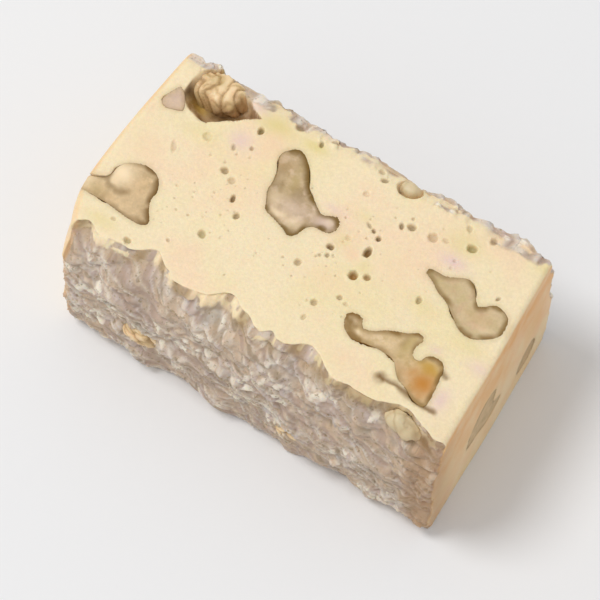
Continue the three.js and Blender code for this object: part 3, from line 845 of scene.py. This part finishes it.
def dress_sliced(nut, offset, material):
    """A knife-cut walnut piece: flat flesh with fine pits and a thin uneven brown skin at its rim."""
    mesh, name = remeshed(nut), nut["name"]
    p, n = mesh_arrays(mesh)
    axis = face_of(name)
    local = p - offset
    at_end = (local[:, 0] < -LENGTH / 2 + END_BAND) & (axis[2] > 0)
    cut = np.where(at_end, np.hypot(np.minimum(n[:, 0], 0), np.maximum(n[:, 2], 0)), n @ axis)
    inward = np.where((at_end & (-n[:, 0] > 0.7))[:, None], (-1.0, 0, 0), axis)
    a, b = local[:, 0] + local[:, 2] * abs(axis[0]) * 0.7, local[:, 1]
    seed = 3.0 * len(name)
    tree = BVHTree.FromPolygons([tuple(c) for c in nut["corners"]], nut["polygons"])
    rim = np.array([tree.find_nearest(Vector(q))[3] for q in p - inward * WALL_DEPTH])
    face = step(0.6, 0.9, cut)
    dark = np.minimum(1, 2.5 * stain_mask(a, b, RIM_DARK.get(name, [])))
    width = 0.45 + 0.35 * lumps(a / 0.9 + seed, b / 0.9, 76) + 0.4 * dark
    strength = np.maximum(0.3 + 0.5 * lumps(a / 1.6, b / 1.6 + seed, 77), 0.95 * dark)
    strength *= 1 - stain_mask(a, b, RIM_FADES.get(name, []))
    skin = strength * step(width, 0.1, rim) * face + (1 - face)
    lines = lines_mask(a, b, NUT_LINES.get(name, [])) * face
    dip = 0.05 + 0.05 * step(0, 1.2, rim) + 0.06 * (lumps(a / 1.6 + seed, b / 1.6, 71) - 0.5)
    grain = 0.025 * lumps(a / 0.3, b / 0.3, 73)
    p -= axis[None, :] * ((dip + 0.06 * lines + grain) * face)[:, None]
    p += n * (0.1 * (lumps(a / 1.1 + seed, p[:, 2] / 1.1, 74) - 0.5) * (1 - face))[:, None]
    mesh.vertices.foreach_set("co", (p * MM).ravel())
    put_masks(mesh, {"skin": skin, "line": lines} | patch_masks(name, a, b, face))
    new_piece(name + "_slice", mesh, [name], material)


# A whole piece that is boxier than its solid, by this share, and moved; calm pieces, by their share
# of the wrinkles; and the ridges' turn in radians, height, fine height and middle level.
FULLER = {"walnut_back_left": (0.7, (-0.4, 0.4, 0.15))}
CALM = {"walnut_back_edge": 0.35, "walnut_front_rim": 0.45}
RIDGE_TURN, RIDGE, FINE_RIDGE, RIDGE_LEVEL = 0.5, 0.42, 0.14, 0.33
SLICED_OFF = 0.1  # the knife flattened what stands above this depth under the top
TOP_BAND = 1.5  # a whole piece that comes this near the top shows from above


def filled_out(p, share, shift):
    """The piece with its rounded form pushed out towards the corners of its box, and moved."""
    low, high = p.min(0), p.max(0)
    q = (p - (low + high) / 2) / ((high - low) / 2)
    stretch = (np.linalg.norm(q, axis=1) / ((q**4).sum(1) ** 0.25 + 1e-9)) ** share
    return (low + high) / 2 + q * stretch[:, None] * (high - low) / 2 + shift


def wrinkles(p, seed, upright):
    """Heights of a kernel's folds from 0 to 1: large ones, ones across them, and fine ones."""
    if upright:
        u, v = turned(p[:, 0], p[:, 1], RIDGE_TURN)
        u, v = u + 0.3 * p[:, 2], v - 0.5 * p[:, 2]
    else:
        u, v = p[:, 0] + 0.35 * p[:, 2], p[:, 2] + 0.6 * p[:, 1]
    wave = 1.9 * lumps(u / 1.9 + seed, v / 1.5, 81) + 0.5 * lumps(u / 0.7, v / 0.6 + seed, 85)
    large = np.abs(np.sin(math.pi * (u / 1.6 + wave)))
    across = np.abs(np.sin(math.pi * (v / 1.6 + 1.6 * lumps(u / 1.3, v / 1.9 + seed, 84))))
    return large, across, creases(u / 0.4 + seed, v / 0.4, 83)


def dress_whole(nut, offset, material):
    """A walnut piece with its wrinkled skin on."""
    mesh = remeshed(nut)
    p, n = mesh_arrays(mesh)
    name, upright = nut["name"], p[:, 2].max() > HEIGHT - TOP_BAND
    large, across, fine = wrinkles(p, 2.0 * len(name), upright)
    calm = CALM.get(name, 1.0)
    if name in FULLER:
        p = filled_out(p, *FULLER[name])
    fold = np.minimum(large, 0.25 + 0.75 * across)
    height = calm * (RIDGE * np.sqrt(fold) + FINE_RIDGE * fine - RIDGE_LEVEL)
    p += n * height[:, None]
    p[:, 2] = np.minimum(p[:, 2], HEIGHT - SLICED_OFF + 0.2 * (p[:, 2] - HEIGHT + SLICED_OFF))
    mesh.vertices.foreach_set("co", (p * MM).ravel())
    # Painted shade: on faces that look down, and low on the piece; used only for pieces near the top.
    deep = step(0.1, -0.6, n[:, 2]) * 0.6 + 0.4 * step(*KERNEL_SHADE_FALL, p[:, 2])
    # Painted shade in the folds, and painted highlight on the ridges; on pieces near the top only ridges
    # that face up.
    put_masks(mesh, {
        "fold_shade": calm * step(0.5, 0.1, fold),
        "ridge_highlight": step(0.5, 1.0, fold) * (step(-0.2, 0.7, n[:, 2]) if upright else 1),
        "below": calm * deep * upright,
    })
    put_masks(mesh, patch_masks(name, p[:, 0] - offset[0], p[:, 1] - offset[1], 1.0))
    new_piece(name + "_kernel", mesh, [name], material)


# ---- Materials ----


def srgb(r, g, b):
    """A colour as the shaders take it, from a screen's three numbers."""
    return tuple(((c / 255 + 0.055) / 1.055) ** 2.4 if c > 10 else c / 3294.6 for c in (r, g, b)) + (1.0,)


class Nodes:
    """A material's or a group's node tree, with short ways to add and join nodes."""

    def __init__(self, tree):
        self.tree = tree

    def add(self, kind, **settings):
        node = self.tree.nodes.new(kind)
        for name, value in settings.items():
            setattr(node, name, value)
        return node

    def join(self, source, target):
        self.tree.links.new(source, target)

    def set(self, socket, value):
        """Joins an output to the socket, or gives it a plain value."""
        if isinstance(value, bpy.types.NodeSocket):
            self.join(value, socket)
        else:
            socket.default_value = value

    def mask(self, name):
        return self.add("ShaderNodeAttribute", attribute_name=name).outputs["Fac"]

    def math(self, operation, a, b):
        node = self.add("ShaderNodeMath", operation=operation)
        self.set(node.inputs[0], a)
        self.set(node.inputs[1], b)
        return node.outputs[0]

    def ramp(self, value, low, high, to_low=0.0, to_high=1.0):
        """A smooth rise from to_low to to_high as the value goes from low to high."""
        node = self.add("ShaderNodeMapRange", interpolation_type="SMOOTHSTEP")
        for socket, given in zip(node.inputs, (value, low, high, to_low, to_high)):
            self.set(socket, given)
        return node.outputs[0]

    def mix(self, share, a, b, blend="MIX"):
        node = self.add("ShaderNodeMix", data_type="RGBA", blend_type=blend)
        self.set(node.inputs[0], share)
        self.set(node.inputs[6], a)
        self.set(node.inputs[7], b)
        return node.outputs[2]

    def tint(self, colour, mask, tone, strength=None):
        """Lays a tone over the colour. The mask is a vertex mask's name or an output."""
        share = self.mask(mask) if isinstance(mask, str) else mask
        if strength is not None:
            share = self.math("MULTIPLY", share, strength)
        return self.mix(share, colour, srgb(*tone))

    def tints(self, colour, tones):
        """Lays several tones over the colour, each by the vertex mask of its name."""
        for name, tone in tones.items():
            colour = self.tint(colour, name, tone)
        return colour

    def noise(self, place, scale, detail=2.0, roughness=0.5):
        """Noise from 0 to 1, with as many features in a metre as the scale says."""
        node = self.add("ShaderNodeTexNoise")
        self.join(place, node.inputs["Vector"])
        self.set(node.inputs["Scale"], scale)
        node.inputs["Detail"].default_value = detail
        node.inputs["Roughness"].default_value = roughness
        return node.outputs["Fac"]

    def place(self):
        return self.add("ShaderNodeTexCoord").outputs["Object"]


def start_group(name, colours, numbers, output, kind):
    """A new node group with these inputs and one output: the group, its nodes, and both ends."""
    group = bpy.data.node_groups.new(name, "ShaderNodeTree")
    kinds = dict.fromkeys(colours, "NodeSocketColor") | dict.fromkeys(numbers, "NodeSocketFloat")
    for socket, socket_kind in kinds.items():
        group.interface.new_socket(socket, in_out="INPUT", socket_type=socket_kind)
    group.interface.new_socket(output, in_out="OUTPUT", socket_type=kind)
    nodes = Nodes(group)
    given, result = nodes.add("NodeGroupInput").outputs, nodes.add("NodeGroupOutput").inputs[output]
    return group, nodes, given, result


def mottle_group():
    """A main tone, a cooler and a warmer one in cloudy patches, and a fine speckle."""
    colours, numbers = ("Main", "Cool", "Warm"), ("Patch Size", "Amount", "Speckle")
    group, nodes, given, result = start_group("mottle", colours, numbers, "Color", "NodeSocketColor")
    place = nodes.place()
    scale = nodes.math("DIVIDE", 1 / MM, given["Patch Size"])

    def cloud(shift, factor, low, high):
        moved = nodes.add("ShaderNodeVectorMath", operation="ADD")
        nodes.join(place, moved.inputs[0])
        moved.inputs[1].default_value = (shift, 0.4 * shift, -shift)
        cloudy = nodes.noise(moved.outputs[0], nodes.math("MULTIPLY", scale, factor), 3.0)
        return nodes.math("MULTIPLY", nodes.ramp(cloudy, low, high), given["Amount"])

    toned = nodes.mix(cloud(0.013, 1.0, 0.45, 0.68), given["Main"], given["Cool"])
    toned = nodes.mix(cloud(0.031, 1.3, 0.47, 0.7), toned, given["Warm"])
    grain = nodes.ramp(nodes.noise(place, 1 / (0.35 * MM), 4.0, 0.7), 0.3, 0.7, -1.0, 1.0)
    value = nodes.math("ADD", 1.0, nodes.math("MULTIPLY", grain, given["Speckle"]))
    grey = nodes.add("ShaderNodeCombineColor")
    for socket in grey.inputs[:3]:
        nodes.join(value, socket)
    nodes.join(nodes.mix(1.0, toned, grey.outputs[0], "MULTIPLY"), result)
    return group


def grain_group():
    """Fine surface roughness as a height, in two sizes."""
    numbers = ("Size", "Coarse Share")
    group, nodes, given, result = start_group("fine_grain", (), numbers, "Height", "NodeSocketFloat")
    place = nodes.place()
    scale = nodes.math("DIVIDE", 1 / MM, given["Size"])
    fine, coarse = [
        nodes.noise(place, nodes.math("MULTIPLY", scale, factor), 4.0, 0.6) for factor in (1.0, 0.3)
    ]
    nodes.join(nodes.math("ADD", fine, nodes.math("MULTIPLY", coarse, given["Coarse Share"])), result)
    return group


MOTTLE = mottle_group()
FINE_GRAIN = grain_group()


def start_material(name):
    """A new material, its nodes and its shader."""
    material = bpy.data.materials.new(name)
    material.use_nodes = True
    nodes = Nodes(material.node_tree)
    return material, nodes, material.node_tree.nodes["Principled BSDF"]


def mottled(nodes, main, cool, warm, patch, amount, speckle):
    """Places the mottle group: its tones, its patches' size in millimetres and its strengths."""
    node = nodes.add("ShaderNodeGroup", node_tree=MOTTLE)
    values = {"Main": srgb(*main), "Cool": srgb(*cool), "Warm": srgb(*warm)}
    values |= {"Patch Size": patch, "Amount": amount, "Speckle": speckle}
    for name, value in values.items():
        node.inputs[name].default_value = value
    return node.outputs["Color"]


def grainy(nodes, shader, size, coarse_share, strength, height):
    """Fine grain as bump. The strength may be a mask; size and height are in millimetres."""
    grain = nodes.add("ShaderNodeGroup", node_tree=FINE_GRAIN)
    grain.inputs["Size"].default_value = size
    grain.inputs["Coarse Share"].default_value = coarse_share
    bump = nodes.add("ShaderNodeBump")
    nodes.set(bump.inputs["Strength"], strength)
    bump.inputs["Distance"].default_value = height * MM
    nodes.join(grain.outputs["Height"], bump.inputs["Height"])
    nodes.join(bump.outputs["Normal"], shader.inputs["Normal"])


def soften(shader, weight, depth, radius):
    """Lets light into the surface, down to this depth in millimetres."""
    shader.subsurface_method = "RANDOM_WALK"
    shader.inputs["Subsurface Weight"].default_value = weight
    shader.inputs["Subsurface Scale"].default_value = depth * MM
    shader.inputs["Subsurface Radius"].default_value = radius


def crumbly_colour(nodes, place):
    """The torn flanks: pale dusty flakes, lilac and grey streaks, and painted shade in the cracks between
    them.
    """
    colour = mottled(nodes, (228, 214, 198), (206, 196, 188), (232, 212, 190), 2.4, 0.9, 0.06)
    streak = nodes.mask("streak")
    colour = nodes.tint(colour, nodes.ramp(streak, 0.5, 0.75, 0.0, 0.75), (204, 186, 178))
    colour = nodes.tint(colour, nodes.ramp(streak, 0.3, 0.12, 0.0, 0.6), (176, 162, 142))
    # Painted shade: darker where the crumbs are low, in the cracks between them.
    high = nodes.ramp(nodes.mask("crumb"), 0.08, 0.6)
    colour = nodes.mix(high, nodes.mix(1.0, colour, srgb(226, 214, 200), "MULTIPLY"), colour)
    colour = nodes.tint(colour, nodes.ramp(nodes.mask("shade"), 0.55, 0.85), (248, 236, 216), high)
    specks = nodes.ramp(nodes.noise(place, 1 / (0.5 * MM), 2.0, 0.6), 0.6, 0.7, 0.0, 0.6)
    return nodes.tint(colour, specks, (150, 130, 92))


def hole_colours(nodes, place, colour):
    """Lays over the colour what shows round the walnuts, painted shade in bubbles and hollows, and the
    hollows' skin.
    """
    colour = nodes.tint(colour, "pocket", (212, 176, 122), 0.3)
    # Painted shade inside the bubbles, warm orange or olive.
    warm = nodes.mask("warm")
    inside = nodes.mix(nodes.ramp(warm, 0.0, 1.0), srgb(122, 92, 44), srgb(150, 100, 8))
    inside = nodes.tint(inside, nodes.ramp(warm, 0.0, -0.7), (128, 112, 36))
    colour = nodes.mix(nodes.mask("dark"), colour, inside)
    cloudy = nodes.ramp(nodes.noise(place, 1 / (1.2 * MM), 3.0), 0.4, 0.6)
    skin = nodes.mix(cloudy, srgb(160, 124, 78), srgb(204, 172, 128))
    # Skin in the hollows, with painted shade in the dark and purplish areas.
    return nodes.mix(nodes.mask("hollow"), colour, nodes.tints(skin, HOLLOW_COLOURS))


def nougat_material():
    """Cream with faint stains on the cut top, crumbly flanks, amber ends, and brown and painted shade at
    one corner.
    """
    material, nodes, shader = start_material("nougat")
    place, flank = nodes.place(), nodes.mask("flank")
    colour = mottled(nodes, (244, 225, 186), (241, 223, 176), (246, 217, 182), 9.0, 0.8, 0.045)
    colour = nodes.tints(colour, STAIN_COLOURS)
    colour = nodes.mix(nodes.ramp(flank, 0.15, 0.75), colour, crumbly_colour(nodes, place))
    # Darker brown patches under the front top edge, partly painted shade.
    colour = nodes.tint(colour, "edge", (164, 134, 88), 0.7)
    patchy = nodes.ramp(nodes.noise(place, 1 / (4.0 * MM), 3.0), 0.3, 0.65, 0.55, 1.0)
    colour = nodes.tint(colour, "amber", (234, 168, 84), patchy)
    # Brown colour and painted shade at the front corner of the right end.
    colour = nodes.tint(colour, "corner_brown_and_shade", (178, 138, 96))
    colour = hole_colours(nodes, place, colour)
    colour = nodes.tint(colour, "skin_line", (136, 102, 54))
    nodes.join(colour, shader.inputs["Base Color"])
    nodes.join(nodes.ramp(flank, 0.2, 0.8, 0.46, 0.7), shader.inputs["Roughness"])
    grainy(nodes, shader, 0.25, 1.5, nodes.ramp(flank, 0.0, 1.0, 0.45, 0.8), 0.08)
    soften(shader, 0.25, 1.2, (1.0, 0.62, 0.32))
    return material


def sliced_walnut_material(name):
    """Cut flesh in the piece's own tones, with its patches, skin lines and thin brown rim."""
    material, nodes, shader = start_material(name + "_flesh")
    main, cool, warm, skin = FLESH[name]
    colour = mottled(nodes, main, cool, warm, 1.3, 1.0, 0.06)
    colour = nodes.tints(colour, {patch: NUT_PATCHES[patch] for patch in NUT_STAINS.get(name, {})})
    colour = nodes.tints(colour, {"skin": skin, "line": skin})
    nodes.join(colour, shader.inputs["Base Color"])
    shader.inputs["Roughness"].default_value = 0.5
    shader.inputs["Specular IOR Level"].default_value = 0.3
    grainy(nodes, shader, 0.2, 1.0, 0.4, 0.05)
    soften(shader, 0.12, 0.7, (1.0, 0.6, 0.3))
    return material


def whole_walnut_material():
    """Walnut skin: warm brown, with painted highlight on its ridges and painted shade in its folds and
    underside.
    """
    material, nodes, shader = start_material("walnut_skin")
    colour = mottled(nodes, (228, 194, 144), (208, 176, 122), (238, 198, 150), 1.4, 0.9, 0.08)
    # Painted highlight on the ridges.
    colour = nodes.tint(colour, "ridge_highlight", (250, 224, 180), 0.75)
    colour = nodes.tints(colour, {patch: NUT_PATCHES[patch] for patch in WHOLE_PATCHES})
    # Painted shade in the folds.
    colour = nodes.tint(colour, "fold_shade", (156, 118, 68), 0.7)
    # Painted shade on the underside and lower sides.
    colour = nodes.tint(colour, "below", (110, 78, 36), 0.8)
    nodes.join(colour, shader.inputs["Base Color"])
    shader.inputs["Roughness"].default_value = 0.45
    grainy(nodes, shader, 0.2, 1.2, 0.5, 0.06)
    soften(shader, 0.1, 0.6, (1.0, 0.5, 0.25))
    return material


# ---- Stage ----

# Places are in metres here, and angles in degrees.
CAMERA_AZIMUTH, CAMERA_ELEVATION, CAMERA_DISTANCE = 32.5, 66.0, 0.415
CAMERA_LENS, SENSOR_WIDTH = 232.0, 36.0
AIM = Vector((0.0, -0.0008, 0.0085))
KEY_LIGHT = {"azimuth": -70, "elevation": 64, "distance": 0.9, "size": 0.35, "watts": 3.6}
SKY_STRENGTH = 0.6
FLOOR_REACH, FLOOR_COLOUR = 3.0, (0.86, 0.86, 0.865, 1)


def direction(azimuth, elevation):
    """Unit vector from the object towards something at this azimuth and elevation."""
    a, e = math.radians(azimuth), math.radians(elevation)
    return Vector((math.sin(a) * math.cos(e), -math.cos(a) * math.cos(e), math.sin(e)))


def add_camera():
    data = bpy.data.cameras.new("camera")
    data.lens, data.sensor_width = CAMERA_LENS, SENSOR_WIDTH
    data.clip_start, data.clip_end = 0.01, 10.0
    camera = place_object("camera", data)
    towards = direction(CAMERA_AZIMUTH, CAMERA_ELEVATION)
    camera.location = AIM + towards * CAMERA_DISTANCE
    camera.rotation_euler = (-towards).to_track_quat("-Z", "Y").to_euler()
    bpy.context.scene.camera = camera


def add_light(name, azimuth, elevation, distance, size, watts):
    data = bpy.data.lights.new(name, "AREA")
    data.shape, data.size = "DISK", size
    data.energy = watts
    light = place_object(name, data)
    towards = direction(azimuth, elevation)
    light.location = towards * distance
    light.rotation_euler = towards.to_track_quat("Z", "Y").to_euler()


def add_floor():
    mesh = bpy.data.meshes.new("floor")
    r = FLOOR_REACH
    mesh.from_pydata([(-r, -r, 0), (r, -r, 0), (r, r, 0), (-r, r, 0)], [], [(0, 1, 2, 3)])
    floor = place_object("floor", mesh)
    material, _, shader = start_material("floor")
    shader.inputs["Base Color"].default_value = FLOOR_COLOUR
    shader.inputs["Roughness"].default_value = 0.9
    shader.inputs["Specular IOR Level"].default_value = 0.1
    mesh.materials.append(material)


def add_stage():
    world = bpy.data.worlds.new("studio")
    bpy.context.scene.world = world
    world.use_nodes = True
    sky = world.node_tree.nodes["Background"]
    sky.inputs["Color"].default_value = (1, 1, 1, 1)
    sky.inputs["Strength"].default_value = SKY_STRENGTH
    add_light("key", **KEY_LIGHT)
    add_floor()
    add_camera()
    bpy.context.scene.view_settings.view_transform = "Standard"


# ---- Making it ----

offset = block_offset()
walnuts = nut_solids()
shape_tongue(next(nut for nut in walnuts if nut["name"] == TONGUE_PIECE))
plant(walnuts, offset)
make_block(walnuts, offset, nougat_material())
nut_skin = whole_walnut_material()
for walnut in walnuts:
    if walnut["sliced"]:
        dress_sliced(walnut, offset, sliced_walnut_material(walnut["name"]))
    else:
        dress_whole(walnut, offset, nut_skin)
add_stage()
